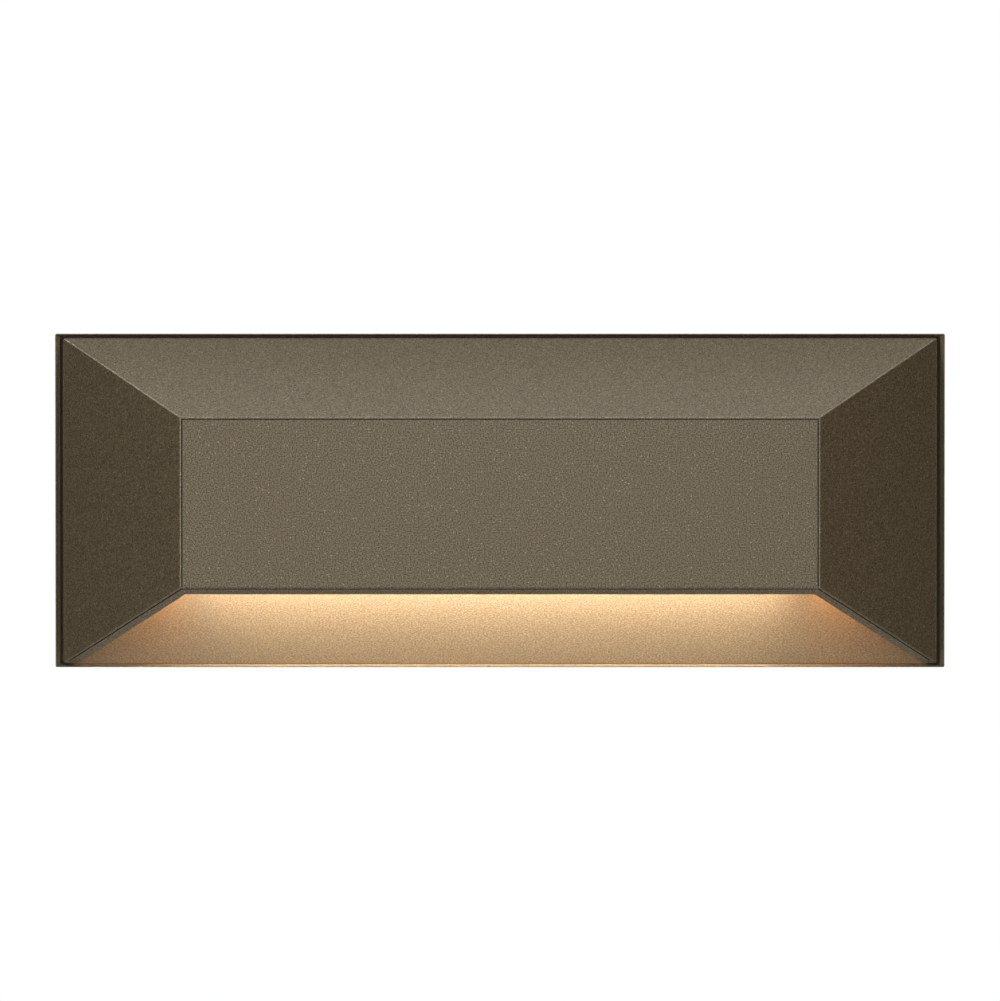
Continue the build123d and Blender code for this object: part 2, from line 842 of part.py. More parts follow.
def make_parts():
    """Every node of the sconce, by name."""
    nodes = {
        "back_plate": make_back_plate(),
        "wall_gasket": make_wall_gasket(),
        "cable_grommet": make_cable_grommet(),
        "led_bracket": make_led_bracket(),
        "bracket_screws": make_bracket_screws(),
        "thermal_pad": make_thermal_pad(),
        "led_board": make_led_board(),
        "led_packages": make_led_packages(),
        "led_phosphors": make_led_phosphors(),
        "lens": make_lens(),
        "lens_gasket": lens_gasket_ring(),
        "lens_screws": make_lens_screws(),
        "driver_case": make_driver_case(),
        "driver_board": make_driver_board(),
        "driver_inductor": make_driver_inductor(),
        "driver_capacitor": make_driver_capacitor(),
        "driver_rectifier": make_driver_rectifier(),
        "driver_potting": make_driver_potting(),
        "driver_screws": make_driver_screws(),
        "terminal_block": make_terminal_block(),
        "terminal_clamps": make_terminal_clamps(),
        "terminal_screws": make_terminal_screws(),
        "terminal_block_screw": make_terminal_block_screw(),
        "input_lead_black": make_input_lead(pole_zs[0]),
        "input_lead_white": make_input_lead(pole_zs[1]),
        "lead_ferrules": make_lead_ferrules(),
        "output_lead_black": make_output_lead(output_exit_depths[0], output_pad_depths[0]),
        "output_lead_red": make_output_lead(output_exit_depths[1], output_pad_depths[1]),
        "lead_bushings": make_lead_bushings(),
        "solder_joints": make_solder_joints(),
        "cover": make_cover(),
        "cover_gasket": make_cover_gasket(),
        "set_screw_left": make_set_screw(-1),
        "set_screw_right": make_set_screw(1),
    }
    return nodes


os.makedirs("parts", exist_ok=True)
for name, shape in make_parts().items():
    export_step(shape, f"parts/{name}.step")
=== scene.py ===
import math

import bmesh
import bpy
from mathutils import Matrix, Vector


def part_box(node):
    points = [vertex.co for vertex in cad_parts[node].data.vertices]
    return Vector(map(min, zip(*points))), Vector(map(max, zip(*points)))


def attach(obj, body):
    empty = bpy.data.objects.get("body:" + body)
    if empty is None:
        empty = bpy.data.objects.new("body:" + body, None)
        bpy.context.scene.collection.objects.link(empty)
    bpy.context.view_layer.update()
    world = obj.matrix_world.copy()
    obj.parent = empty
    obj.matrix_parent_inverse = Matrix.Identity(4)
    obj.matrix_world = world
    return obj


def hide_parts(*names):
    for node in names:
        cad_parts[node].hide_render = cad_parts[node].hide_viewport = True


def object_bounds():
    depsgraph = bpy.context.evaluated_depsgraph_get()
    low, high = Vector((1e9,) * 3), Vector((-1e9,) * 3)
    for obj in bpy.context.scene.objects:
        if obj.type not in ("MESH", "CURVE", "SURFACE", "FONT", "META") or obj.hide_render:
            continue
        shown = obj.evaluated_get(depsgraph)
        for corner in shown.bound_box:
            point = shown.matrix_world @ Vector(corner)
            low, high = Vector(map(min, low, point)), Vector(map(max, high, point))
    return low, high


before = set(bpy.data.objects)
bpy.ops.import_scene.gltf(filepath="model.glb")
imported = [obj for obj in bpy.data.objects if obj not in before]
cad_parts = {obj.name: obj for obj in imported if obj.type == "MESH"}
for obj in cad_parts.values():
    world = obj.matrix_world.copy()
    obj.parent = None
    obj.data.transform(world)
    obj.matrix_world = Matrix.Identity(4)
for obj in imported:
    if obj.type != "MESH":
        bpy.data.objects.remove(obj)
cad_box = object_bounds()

# Wall gasket: a ring of closed-cell EPDM foam, die-cut from sheet and laid in the groove behind the plate.
# The wall squeezes it level with the plate's back.
MM = 0.001


def linear(hex_colour):
    """An sRGB hex colour as the linear colour that a shader takes."""
    shares = [int(hex_colour[i : i + 2], 16) / 255 for i in (1, 3, 5)]
    return [s / 12.92 if s <= 0.04045 else ((s + 0.055) / 1.055) ** 2.4 for s in shares] + [1.0]


def add(tree, kind, sockets=(), **settings):
    """Adds a shader node with its settings, and sets its sockets to values or links them to outputs."""
    node = tree.nodes.new("ShaderNode" + kind)
    for name, value in settings.items():
        setattr(node, name, value)
    for name, value in dict(sockets).items():
        if isinstance(value, bpy.types.NodeSocket):
            tree.links.new(value, node.inputs[name])
        else:
            node.inputs[name].default_value = value
    return node


def new_surface(name):
    """A new material with its node tree, its shader and its Object coordinates."""
    material = bpy.data.materials.new(name)
    material.use_nodes = True
    tree = material.node_tree
    return material, tree, tree.nodes["Principled BSDF"], add(tree, "TexCoord").outputs["Object"]


def grained(name, dark, light, grain, relief, rough, metallic=0.0, stretch=(1, 1, 1)):
    """A surface whose shade, gloss and height wander together over grains of one size.

    rough is the roughness in the hollows and on the high spots. A stretch under 1 draws the grain out
    along that axis."""
    usual_noise = {"From Min": 0.3, "From Max": 0.7}
    material, tree, shader, place = new_surface(name)
    place = add(tree, "Mapping", {"Vector": place, "Scale": stretch}).outputs["Vector"]
    noise = add(tree, "TexNoise", {"Vector": place, "Scale": 1 / grain, "Detail": 2.0}).outputs["Fac"]
    spread = add(tree, "MapRange", {"Value": noise, **usual_noise}).outputs["Result"]
    shade = add(tree, "Mix", {0: spread, 6: linear(dark), 7: linear(light)}, data_type="RGBA").outputs[2]
    gloss = add(tree, "MapRange", {"Value": spread, "To Min": rough[0], "To Max": rough[1]})
    bump = add(tree, "Bump", {"Height": noise, "Distance": relief})
    tree.links.new(shade, shader.inputs["Base Color"])
    tree.links.new(gloss.outputs["Result"], shader.inputs["Roughness"])
    tree.links.new(bump.outputs["Normal"], shader.inputs["Normal"])
    shader.inputs["Metallic"].default_value = metallic
    return material


def finish(material, *names):
    """Gives CAD nodes their material."""
    for name in names:
        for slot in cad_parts[name].material_slots:
            slot.material = material


# Cut foam: a dead black, pitted by the cells that the die opened.
epdm_foam = grained(
    "closed_cell_epdm_foam", "#101011", "#262627", grain=0.5 * MM, relief=0.12 * MM, rough=(0.98, 0.85)
)
finish(epdm_foam, "wall_gasket")


# Back plate: pressure die-cast aluminium under a textured bronze powder coat, a shallow tray with a rim.
# Its screw bosses and set-screw lugs are cast with it.
sand_low = 0.36
sand_high = 0.64
valley_roughness = 0.52
peak_roughness = 0.42
fleck_spacing = 0.7 * MM
fleck_radius = 0.12 * MM
fleck_share = 0.25
# Painted shade in grooves and corners: how far it looks, the occlusion where it starts and where it is
# full, and its colour.
groove_reach = 0.5 * MM
groove_lip = 0.85
groove_floor = 0.45
groove_shade_colour = "#1F1A12"


def textured_powder_coat(name, valley, peak, fleck_colour, grain, relief, stretch=(1, 1, 1)):
    """Bronze powder coat with metal flake: fine sandy bumps, a soft sheen and scattered bright flakes.

    Fine grooves and inside corners get a painted shade: ambient occlusion of the piece itself darkens them
    towards a dark brown."""
    material, tree, shader, place = new_surface(name)
    drawn = add(tree, "Mapping", {"Vector": place, "Scale": stretch}).outputs["Vector"]
    sand = add(tree, "TexNoise", {"Vector": drawn, "Scale": 1 / grain, "Detail": 2.0}).outputs["Fac"]
    spread = {"Value": sand, "From Min": sand_low, "From Max": sand_high}
    spread = add(tree, "MapRange", spread).outputs["Result"]
    shade = add(tree, "Mix", {0: spread, 6: linear(valley), 7: linear(peak)}, data_type="RGBA").outputs[2]
    flake = add(tree, "TexVoronoi", {"Vector": place, "Scale": 1 / fleck_spacing})
    inside = {0: flake.outputs["Distance"], 1: fleck_radius / fleck_spacing}
    inside = add(tree, "Math", inside, operation="LESS_THAN").outputs[0]
    chance = add(tree, "SeparateColor", {"Color": flake.outputs["Color"]}).outputs["Red"]
    bright = add(tree, "Math", {0: chance, 1: fleck_share}, operation="LESS_THAN").outputs[0]
    fleck = add(tree, "Math", {0: inside, 1: bright}, operation="MULTIPLY").outputs[0]
    shade = add(tree, "Mix", {0: fleck, 6: shade, 7: linear(fleck_colour)}, data_type="RGBA").outputs[2]
    # Painted shade: ambient occlusion darkens fine grooves and inside corners towards a dark brown.
    occlusion = {"Distance": groove_reach}
    occlusion = add(tree, "AmbientOcclusion", occlusion, samples=6, only_local=True).outputs["AO"]
    groove_shade = {"Value": occlusion, "From Min": groove_lip, "From Max": groove_floor}
    groove_shade = add(tree, "MapRange", groove_shade, interpolation_type="SMOOTHSTEP").outputs["Result"]
    shade = add(tree, "Mix", {0: groove_shade, 6: shade, 7: linear(groove_shade_colour)}, data_type="RGBA").outputs[2]
    gloss = {"Value": spread, "To Min": valley_roughness, "To Max": peak_roughness}
    gloss = add(tree, "MapRange", gloss).outputs["Result"]
    bump = add(tree, "Bump", {"Height": sand, "Distance": relief}).outputs["Normal"]
    tree.links.new(shade, shader.inputs["Base Color"])
    tree.links.new(gloss, shader.inputs["Roughness"])
    tree.links.new(bump, shader.inputs["Normal"])
    shader.inputs["Metallic"].default_value = 0.6
    shader.inputs["Coat Weight"].default_value = 0.25
    shader.inputs["Coat Roughness"].default_value = 0.25
    return material


# The plate is linished lengthways and coated thinly, so grazing light draws faint fine lines along it.
lined_coat = textured_powder_coat(
    "bronze_powder_coat_on_linished_plate",
    valley="#544A37",
    peak="#776D55",
    fleck_colour="#7F755D",
    grain=0.14 * MM,
    relief=0.003 * MM,
    stretch=(0.35, 1, 1),
)
finish(lined_coat, "back_plate")


# Cable grommet, lead bushings and cover gasket: compression-moulded black rubber, pressed into their holes
# or laid under the cover's edge. The mould leaves a fine even matt.
moulded_rubber = grained(
    "moulded_black_rubber", "#141415", "#222324", grain=0.3 * MM, relief=0.02 * MM, rough=(0.75, 0.55)
)
finish(moulded_rubber, "cable_grommet", "lead_bushings", "cover_gasket")


# LED bracket: a rail of extruded aluminium, sawn to length and drilled, screwed to two bosses of the plate.
# The die draws fine lines along the rail, which spread its reflections across them.
extruded_aluminium = grained(
    "mill_finish_extruded_aluminium",
    "#B4B6B8",
    "#D6D7D8",
    grain=0.25 * MM,
    relief=0.006 * MM,
    rough=(0.42, 0.28),
    metallic=1.0,
    stretch=(0.012, 1, 1),
)
finish(extruded_aluminium, "led_bracket")


# Pan-head screws: cold-headed stainless steel with a cross recess, in bracket, driver and terminal block.
# The recess is punched with tapered walls.
steps_per_turn = 24
seam_gap = 0.001 * MM
sharp_edge = math.radians(32)


def make_piece(name, mesh, material, body, slot, *stands_for):
    """Turns a bmesh into a piece that rides on a body, in place of the CAD nodes that it stands for."""
    data = bpy.data.meshes.new(name)
    mesh.to_mesh(data)
    mesh.free()
    data.materials.append(material)
    data.shade_smooth()
    data.set_sharp_from_angle(angle=sharp_edge)
    piece = bpy.data.objects.new(name, data)
    bpy.context.scene.collection.objects.link(piece)
    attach(piece, body)
    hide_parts(*stands_for)


def turned(profile):
    """A bmesh turned about Z from a profile of radii and heights, with its seam and poles closed."""
    mesh = bmesh.new()
    verts = [mesh.verts.new((radius, 0, height)) for radius, height in profile]
    edges = [mesh.edges.new(pair) for pair in zip(verts, verts[1:])]
    bmesh.ops.spin(
        mesh,
        geom=verts + edges,
        cent=(0, 0, 0),
        axis=(0, 0, 1),
        angle=2 * math.pi,
        steps=steps_per_turn,
        use_merge=True,
    )
    bmesh.ops.remove_doubles(mesh, verts=mesh.verts, dist=seam_gap)
    return mesh


def sink_recess(mesh, outline, depth, taper):
    """Joins a turned piece's open end to a recess of a given outline, whose walls taper to its floor."""
    mouth = [edge for edge in mesh.edges if edge.is_boundary]
    rim = [mesh.verts.new(point) for point in outline]
    edges = [mesh.edges.new(pair) for pair in zip(rim, rim[1:] + rim[:1])]
    bmesh.ops.bridge_loops(mesh, edges=mouth + edges)
    wall = bmesh.ops.extrude_edge_only(mesh, edges=edges)["geom"]
    floor_verts = [item for item in wall if isinstance(item, bmesh.types.BMVert)]
    floor_edges = [edge for edge in mesh.edges if edge.is_boundary]
    bmesh.ops.scale(mesh, verts=floor_verts, vec=(taper, taper, 1))
    bmesh.ops.translate(mesh, verts=floor_verts, vec=depth)
    bmesh.ops.contextual_create(mesh, geom=floor_edges)
    bmesh.ops.recalc_face_normals(mesh, faces=mesh.faces)


def pan_head_screw(shank, length, head, height):
    """A screw with a shank and a head of these radii. Its seat is Z = 0 and its head points along Z."""
    flat = 0.62 * head
    shoulder = 0.4 * height
    quarter_round = [math.radians(angle) for angle in (0, 22.5, 45, 67.5, 90)]
    dome = [
        (flat + (head - flat) * math.sin(angle), shoulder + (height - shoulder) * math.cos(angle))
        for angle in quarter_round
    ]
    rim_height = 0.1 * height
    rim_inset = 0.05 * head
    seat = [(head, rim_height), (head - rim_inset, 0), (shank, 0)]
    point = 0.25 * MM
    tip = [(shank, point - length), (shank - point, -length), (0, -length)]
    screw = turned(dome + seat + tip)
    arm = 0.56 * head
    half = 0.13 * head
    recess_depth = 0.55 * height
    recess_taper = 0.72
    cross = []
    for quarter in range(4):
        around = Matrix.Rotation(quarter * math.pi / 2, 3, "Z")
        cross += [around @ Vector((x, y, height)) for x, y in ((arm, -half), (arm, half), (half, half))]
    sink_recess(screw, cross, (0, 0, -recess_depth), recess_taper)
    return screw


def copies(shape, places):
    """A bmesh with a copy of a shape at each place."""
    single = bpy.data.meshes.new("single")
    shape.to_mesh(single)
    shape.free()
    group = bmesh.new()
    for place in places:
        before = len(group.verts)
        group.from_mesh(single)
        group.verts.ensure_lookup_table()
        bmesh.ops.transform(group, verts=group.verts[before:], matrix=place)
    bpy.data.meshes.remove(single)
    return group


# Tumbled stainless steel: bright and slightly warm, with reflections that the tumbling has softened.
stainless = grained(
    "tumbled_stainless_steel",
    "#A7A5A1",
    "#C9C7C3",
    grain=0.4 * MM,
    relief=0.004 * MM,
    rough=(0.36, 0.24),
    metallic=1.0,
)
m3_shank = 1.5 * MM
m3_head = 2.75 * MM
m3_height = 2.0 * MM
to_front = Matrix.Rotation(math.pi / 2, 4, "X")


def front_screws(name, node, turns):
    """Pan-head screws that face the front in place of a node: one at each of its ends, or a single one.

    turns are the angles in degrees at which their recesses came to rest."""
    low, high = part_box(node)
    seat = low.y + m3_height
    middle = (low.z + high.z) / 2
    ends = sorted({round(low.x + m3_head, 6), round(high.x - m3_head, 6)})
    places = [
        Matrix.Translation((x, seat, middle)) @ to_front @ Matrix.Rotation(math.radians(turn), 4, "Z")
        for x, turn in zip(ends, turns)
    ]
    screw = pan_head_screw(m3_shank, high.y - seat, m3_head, m3_height)
    make_piece(name, copies(screw, places), stainless, "wall_plate", "stainless_steel", node)


front_screws("pan_head_bracket_screws", "bracket_screws", turns=(12, 71))
front_screws("pan_head_driver_screws", "driver_screws", turns=(35, 80))
front_screws("pan_head_block_screw", "terminal_block_screw", turns=(52,))


# LED strip: a silicone heat pad, then an aluminium-core board under white solder mask, with fourteen
# moulded LED packages soldered to it and a phosphor fill in each. The lens's gasket is the pad's silicone.
led_count = 14
led_low, led_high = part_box("led_phosphors")
led_radius = (led_high.y - led_low.y) / 2
first_led = led_low.x + led_radius
led_pitch = (led_high.x - led_low.x - 2 * led_radius) / (led_count - 1)
led_y = (led_low.y + led_high.y) / 2
copper_gap = 0.5 * MM
copper_slope = 0.2 * MM
mask_step = 0.05 * MM

# Filled silicone: a dull mid grey with a soft mottle.
silicone_pad = grained(
    "filled_grey_silicone", "#8A8D90", "#A0A3A5", grain=0.35 * MM, relief=0.015 * MM, rough=(0.85, 0.7)
)
finish(silicone_pad, "thermal_pad", "lens_gasket")


def steps_from_led(tree, place):
    """How far a point lies along the strip from the nearest LED's middle."""
    along = add(tree, "SeparateXYZ", {"Vector": place}).outputs["X"]
    along = add(tree, "Math", {0: along, 1: first_led}, operation="SUBTRACT").outputs[0]
    return add(tree, "Math", {0: along, 1: led_pitch / 2}, operation="PINGPONG").outputs[0]


def printed_board():
    """White solder mask over copper that is parted by a narrow gap at every LED, which shows as a step."""
    material, tree, shader, place = new_surface("white_solder_mask_over_copper")
    bank = copper_gap / 2
    gap = {"Value": steps_from_led(tree, place), "From Min": bank, "From Max": bank + copper_slope}
    copper = add(tree, "MapRange", gap, interpolation_type="SMOOTHSTEP").outputs["Result"]
    shades = {0: copper, 6: linear("#DAD8CE"), 7: linear("#EFEEE7")}
    shade = add(tree, "Mix", shades, data_type="RGBA").outputs[2]
    bump = add(tree, "Bump", {"Height": copper, "Distance": mask_step}).outputs["Normal"]
    tree.links.new(shade, shader.inputs["Base Color"])
    tree.links.new(bump, shader.inputs["Normal"])
    shader.inputs["Roughness"].default_value = 0.38
    return material


finish(printed_board(), "led_board")

# Moulded LED bodies: a warm white with a low sheen.
led_body = grained(
    "moulded_white_led_body", "#E4E2DA", "#F2F1EB", grain=0.25 * MM, relief=0.01 * MM, rough=(0.55, 0.45)
)
finish(led_body, "led_packages")

# Phosphor in silicone: a granular yellow that glows warm white when lit.
phosphor = grained(
    "yellow_phosphor_silicone", "#E3B23C", "#F2CB62", grain=0.12 * MM, relief=0.01 * MM, rough=(0.5, 0.35)
)
glow = phosphor.node_tree.nodes["Principled BSDF"].inputs
glow["Emission Color"].default_value = linear("#FFE2B4")
glow["Emission Strength"].default_value = 1.5
finish(phosphor, "led_phosphors")

# Tin solder: bright, with the shallow ripples of a joint that has set.
tin_solder = grained(
    "bright_tin_solder",
    "#B9BBBD",
    "#D9DADB",
    grain=0.6 * MM,
    relief=0.02 * MM,
    rough=(0.3, 0.16),
    metallic=1.0,
)
finish(tin_solder, "solder_joints")


# Lens: a trough of polycarbonate, injection-moulded with a frosted face, on its gasket under the bracket.
# Lit from inside it glows warm white, brightest under each LED and dimmer towards its sides and ends.
lens_low, lens_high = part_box("lens")
lens_half_width = (lens_high.y - lens_low.y) / 2
glow_between_leds = 0.55
glow_at_sides = 0.25
glow_at_ends = 0.2
frost_grain = 0.3 * MM
frost_relief = 0.012 * MM


def frosted_lens():
    """Frosted polycarbonate with light behind it: a fine matt skin over soft warm pools."""
    material, tree, shader, place = new_surface("frosted_polycarbonate_lit")
    pools = {"Value": steps_from_led(tree, place), "From Max": led_pitch / 2}
    pools |= {"To Min": 1.0, "To Max": glow_between_leds}
    pools = add(tree, "MapRange", pools, interpolation_type="SMOOTHSTEP").outputs["Result"]
    apart = add(tree, "SeparateXYZ", {"Vector": place}).outputs
    across = add(tree, "Math", {0: apart["Y"], 1: led_y}, operation="SUBTRACT").outputs[0]
    across = add(tree, "Math", {0: across}, operation="ABSOLUTE").outputs[0]
    sides = {"Value": across, "From Max": lens_half_width, "To Min": 1.0, "To Max": glow_at_sides}
    sides = add(tree, "MapRange", sides, interpolation_type="SMOOTHSTEP").outputs["Result"]
    along = add(tree, "Math", {0: apart["X"]}, operation="ABSOLUTE").outputs[0]
    ends = {"Value": along, "From Min": led_high.x, "From Max": lens_high.x}
    ends |= {"To Min": 1.0, "To Max": glow_at_ends}
    ends = add(tree, "MapRange", ends, interpolation_type="SMOOTHSTEP").outputs["Result"]
    lit = add(tree, "Math", {0: pools, 1: sides}, operation="MULTIPLY").outputs[0]
    lit = add(tree, "Math", {0: lit, 1: ends}, operation="MULTIPLY").outputs[0]
    tones = {0: lit, 6: linear("#B58A55"), 7: linear("#FFF0D2")}
    tone = add(tree, "Mix", tones, data_type="RGBA").outputs[2]
    frost = add(tree, "TexNoise", {"Vector": place, "Scale": 1 / frost_grain}).outputs["Fac"]
    bump = add(tree, "Bump", {"Height": frost, "Distance": frost_relief}).outputs["Normal"]
    tree.links.new(tone, shader.inputs["Emission Color"])
    tree.links.new(bump, shader.inputs["Normal"])
    shader.inputs["Base Color"].default_value = linear("#E9E4D8")
    shader.inputs["Roughness"].default_value = 0.5
    shader.inputs["IOR"].default_value = 1.585
    shader.inputs["Emission Strength"].default_value = 0.5
    return material


finish(frosted_lens(), "lens")

# Four smaller pan-head screws hold the lens up against the bracket, one near each corner.
m25_shank = 1.25 * MM
m25_head = 2.2 * MM
m25_height = 1.5 * MM
screws_low, screws_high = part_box("lens_screws")
to_floor = Matrix.Rotation(math.pi, 4, "X")
lens_screw_turns = {(-1, -1): 20, (-1, 1): 64, (1, -1): 41, (1, 1): 8}
lens_screw_places = []
for (side_x, side_y), turn in lens_screw_turns.items():
    x = screws_high.x - m25_head if side_x > 0 else screws_low.x + m25_head
    y = screws_high.y - m25_head if side_y > 0 else screws_low.y + m25_head
    seat = Matrix.Translation((x, y, screws_low.z + m25_height))
    lens_screw_places.append(seat @ to_floor @ Matrix.Rotation(math.radians(turn), 4, "Z"))
lens_screw = pan_head_screw(m25_shank, screws_high.z - screws_low.z - m25_height, m25_head, m25_height)
make_piece(
    "pan_head_lens_screws",
    copies(lens_screw, lens_screw_places),
    stainless,
    "wall_plate",
    "stainless_steel",
    "lens_screws",
)


# LED driver: a glass-filled nylon tray, moulded with two screw ears, that holds a small circuit board.
# The tray is poured full of black resin, which creeps up its walls before it sets.

# Glass-filled nylon: black, with a coarse matt where the fibres reach the mould.
moulded_nylon = grained(
    "glass_filled_black_nylon", "#18191B", "#2A2B2D", grain=0.4 * MM, relief=0.03 * MM, rough=(0.7, 0.5)
)
finish(moulded_nylon, "driver_case")

# Solder mask on a glass-epoxy board: a softly mottled green with a low gloss.
circuit_board = grained(
    "green_solder_mask", "#12402A", "#1E5A3A", grain=0.8 * MM, relief=0.02 * MM, rough=(0.45, 0.3)
)
finish(circuit_board, "driver_board")

# Sintered ferrite: a dull dark grey.
ferrite = grained(
    "sintered_ferrite", "#242426", "#37373A", grain=0.3 * MM, relief=0.02 * MM, rough=(0.8, 0.6)
)
finish(ferrite, "driver_inductor")

# Shrink sleeve: a smooth blue grey, drawn tight over the can.
can_sleeve = grained(
    "shrink_sleeved_capacitor", "#23262E", "#30343D", grain=1.2 * MM, relief=0.01 * MM, rough=(0.4, 0.28)
)
finish(can_sleeve, "driver_capacitor")

# Moulded epoxy: black with an even matt.
epoxy_package = grained(
    "moulded_black_epoxy", "#141414", "#212121", grain=0.2 * MM, relief=0.015 * MM, rough=(0.65, 0.5)
)
finish(epoxy_package, "driver_rectifier")

# Poured resin: near black and glossy, with a slow swell that bends its reflections.
poured_resin = grained(
    "poured_black_resin", "#0E0F10", "#16171A", grain=7.0 * MM, relief=0.25 * MM, rough=(0.2, 0.12)
)
resin_low, resin_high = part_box("driver_potting")
resin_creep = 0.5 * MM
creep_reach = 0.8 * MM
resin_cell = 0.5 * MM
resin_half = Vector(((resin_high.x - resin_low.x) / 2, (resin_high.z - resin_low.z) / 2))
resin = bmesh.new()
bmesh.ops.create_grid(
    resin,
    x_segments=round(2 * resin_half.x / resin_cell),
    y_segments=round(2 * resin_half.y / resin_cell),
    size=1.0,
)
bmesh.ops.scale(resin, verts=resin.verts, vec=(resin_half.x, resin_half.y, 1))
for vert in resin.verts:
    to_wall = min(resin_half.x - abs(vert.co.x), resin_half.y - abs(vert.co.y))
    vert.co.z = resin_creep * math.exp(-to_wall / creep_reach)
resin_edge = [edge for edge in resin.edges if edge.is_boundary]
resin_sides = bmesh.ops.extrude_edge_only(resin, edges=resin_edge)["geom"]
for item in resin_sides:
    if isinstance(item, bmesh.types.BMVert):
        item.co.z = resin_low.y - resin_high.y
bmesh.ops.contextual_create(resin, geom=[edge for edge in resin.edges if edge.is_boundary])
bmesh.ops.recalc_face_normals(resin, faces=resin.faces)
resin_middle = Vector(((resin_low.x + resin_high.x) / 2, resin_low.y, (resin_low.z + resin_high.z) / 2))
bmesh.ops.transform(resin, verts=resin.verts, matrix=Matrix.Translation(resin_middle) @ to_front)
make_piece("poured_driver_resin", resin, poured_resin, "wall_plate", "potting_resin", "driver_potting")


# Terminal block: a grey polyamide body with two square brass clamps in it, each with two slotted screws.
# The supply conductors go in at one end, and the driver's leads come in at the other in tinned ferrules.

# Moulded polyamide: a flat light grey with a faint sheen.
polyamide = grained(
    "moulded_grey_polyamide", "#8C8E8E", "#9FA1A0", grain=0.5 * MM, relief=0.02 * MM, rough=(0.6, 0.42)
)
finish(polyamide, "terminal_block")

# Drawn brass: yellow, with lines along the tube that spread its gleam across them.
drawn_brass = grained(
    "drawn_brass",
    "#B88F3C",
    "#D9B562",
    grain=0.3 * MM,
    relief=0.006 * MM,
    rough=(0.36, 0.22),
    metallic=1.0,
    stretch=(0.03, 1, 1),
)
finish(drawn_brass, "terminal_clamps")

# Passivated zinc: silvery, with a cold blue tint that comes and goes.
zinc_plate = grained(
    "blue_passivated_zinc",
    "#AEB6BF",
    "#CDD1D2",
    grain=0.9 * MM,
    relief=0.006 * MM,
    rough=(0.34, 0.22),
    metallic=1.0,
)
finish(zinc_plate, "terminal_screws")

# Tinned copper: a soft, slightly warm silver.
tinned_copper = grained(
    "tinned_copper_ferrule",
    "#B7B5B0",
    "#D3D1CC",
    grain=0.4 * MM,
    relief=0.01 * MM,
    rough=(0.36, 0.24),
    metallic=1.0,
)
finish(tinned_copper, "lead_ferrules")


# Leads: stranded copper in extruded PVC, two from terminal block to driver and two down to the LEDs.
# The insulation has a low gloss and a faint orange peel from the extruder.
pvc_shades = {
    "black": ("#121213", "#1D1D1E"),
    "white": ("#DDDCD6", "#EAE9E4"),
    "red": ("#9E1B17", "#B5241E"),
}
pvc = {
    colour: grained(
        f"extruded_{colour}_pvc", dark, light, grain=0.5 * MM, relief=0.015 * MM, rough=(0.48, 0.36)
    )
    for colour, (dark, light) in pvc_shades.items()
}
finish(pvc["black"], "input_lead_black", "output_lead_black")
finish(pvc["white"], "input_lead_white")
finish(pvc["red"], "output_lead_red")


# Cover: a die-cast aluminium hood under the same powder coat, slid on until its gasket meets the plate.
# The coat is thicker here, sandy and full of flake. Its grain, about a quarter of a millimetre on the real
# cover, is drawn a little coarser so that it shows.
cover_coat = textured_powder_coat(
    "bronze_textured_powder_coat",
    valley="#483E2E",
    peak="#7C715B",
    fleck_colour="#A3987F",
    grain=0.3 * MM,
    relief=0.014 * MM,
)
finish(cover_coat, "cover")


# Set screws: two M4 socket set screws in the plate's lugs, tightened upwards against the cover's ledges.
# Each has a rolled thread, a hexagon socket at its lower end and a cup point at its upper end.
screw_length = 10.0 * MM
thread_crest = 2.0 * MM
thread_root = 1.6 * MM
thread_sink = 0.05 * MM
thread_pitch = 0.7 * MM
thread_turns = 12
end_chamfer = 0.55 * MM
socket_width = 2.0 * MM
socket_depth = 3.0 * MM
socket_mouth = 1.25 * MM
socket_taper = 0.96
point_radius = 1.1 * MM
cup_radius = 0.85 * MM
cup_depth = 0.5 * MM


def set_screw():
    """A set screw that stands on its socket end at Z = 0, with its cup point at the top."""
    face = thread_crest - end_chamfer
    foot = [(socket_mouth, 0), (face, 0), (thread_root, thread_root - face)]
    top = [(thread_root, screw_length - thread_root + point_radius), (point_radius, screw_length)]
    cup = [(cup_radius, screw_length), (0, screw_length - cup_depth)]
    screw = turned(foot + top + cup)
    corner = socket_width / 2 / math.cos(math.pi / 6)
    hexagon = [Matrix.Rotation(side * math.pi / 3, 3, "Z") @ Vector((corner, 0, 0)) for side in range(6)]
    sink_recess(screw, hexagon, (0, 0, socket_depth), socket_taper)
    sunk = thread_root - thread_sink
    start = (screw_length - thread_turns * thread_pitch) / 2
    flank = 0.40 * thread_pitch
    crest = 0.07 * thread_pitch
    ridge = [(sunk, -flank), (thread_crest, -crest), (thread_crest, crest), (sunk, flank)]
    verts = [screw.verts.new((radius, 0, start + height)) for radius, height in ridge]
    edges = [screw.edges.new(pair) for pair in zip(verts, verts[1:] + verts[:1])]
    screw.faces.new(verts)
    swept = bmesh.ops.spin(
        screw,
        geom=verts + edges,
        cent=(0, 0, 0),
        axis=(0, 0, 1),
        dvec=(0, 0, thread_pitch / steps_per_turn),
        angle=2 * math.pi * thread_turns,
        steps=steps_per_turn * thread_turns,
    )
    last_edges = [item for item in swept["geom_last"] if isinstance(item, bmesh.types.BMEdge)]
    bmesh.ops.contextual_create(screw, geom=last_edges)
    for vert in screw.verts:
        reach = face + min(vert.co.z, screw_length - vert.co.z)
        radius = vert.co.xy.length
        if thread_root < radius and reach < radius:
            vert.co.xy *= reach / radius
    bmesh.ops.recalc_face_normals(screw, faces=screw.faces)
    return screw


